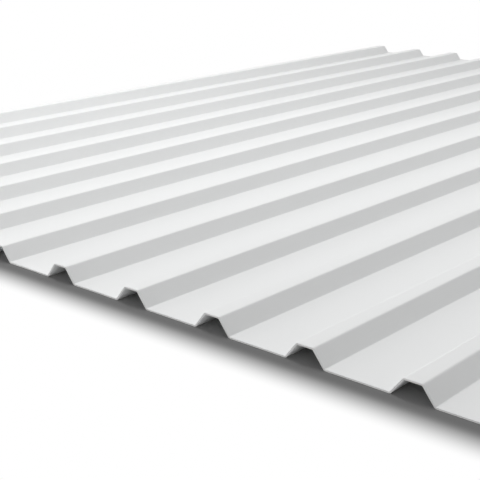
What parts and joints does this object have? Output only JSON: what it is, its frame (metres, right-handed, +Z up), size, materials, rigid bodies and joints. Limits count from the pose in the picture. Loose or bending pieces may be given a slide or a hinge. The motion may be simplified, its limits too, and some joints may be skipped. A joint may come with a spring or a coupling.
{
  "type": "upvc roofing sheet",
  "caption": "Flat-lying white UPVC roofing sheet with narrow trapezoidal ribs, wide flat valleys and short side lips, sheds water and spans between battens.",
  "frame": {"origin": "middle of the sheet's footprint, on the plane that the undersides of the valleys rest on", "axes": "+Y along the ribs, +X across them, +Z up through the sheet towards the crests"},
  "size_m": [1.2, 1.5, 0.0155],
  "materials": {
    "white_upvc": "smooth extruded white UPVC with a soft satin sheen, faint die lines along the ribs, plain sawn ends"
  },
  "bodies": {
    "root": {"roofing_sheet": "white_upvc"}
  },
  "joints": []
}
